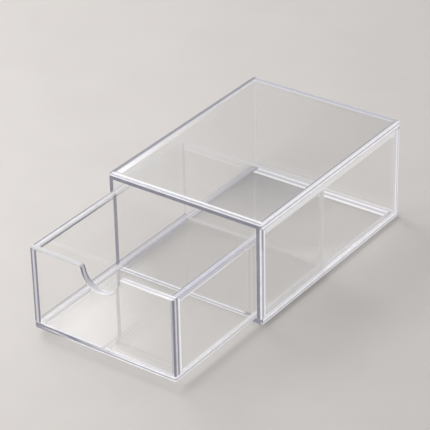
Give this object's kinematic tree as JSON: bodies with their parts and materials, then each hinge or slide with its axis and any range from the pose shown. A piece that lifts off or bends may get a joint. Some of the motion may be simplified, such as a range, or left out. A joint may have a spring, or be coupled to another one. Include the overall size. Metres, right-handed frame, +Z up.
{
  "type": "stackable drawer box",
  "caption": "Clear acrylic drawer box: an open-fronted rectangular case with a pull-out tray drawer that has a half-round finger notch in its front.",
  "frame": {"origin": "centre of the underside of the case, on the surface it stands on", "axes": "+Z up, +Y towards the case's closed back, so the drawer pulls out along -Y; +X to the right as seen from the front"},
  "size_m": [0.15, 0.3158, 0.093],
  "materials": {
    "case_acrylic": "clear cast acrylic sheet, flame-polished edges",
    "drawer_acrylic": "clear cast acrylic sheet, flame-polished edges"
  },
  "bodies": {
    "case": {"case_bottom": "case_acrylic", "case_top": "case_acrylic", "case_left": "case_acrylic", "case_right": "case_acrylic", "case_back": "case_acrylic"},
    "drawer": {"drawer_bottom": "drawer_acrylic", "drawer_front": "drawer_acrylic", "drawer_back": "drawer_acrylic", "drawer_left": "drawer_acrylic", "drawer_right": "drawer_acrylic"}
  },
  "joints": [
    {"name": "drawer_slide", "type": "slide", "parent": "case", "child": "drawer", "axis": [0, -1, 0], "range_m": [-0.1078, 0.1]}
  ]
}
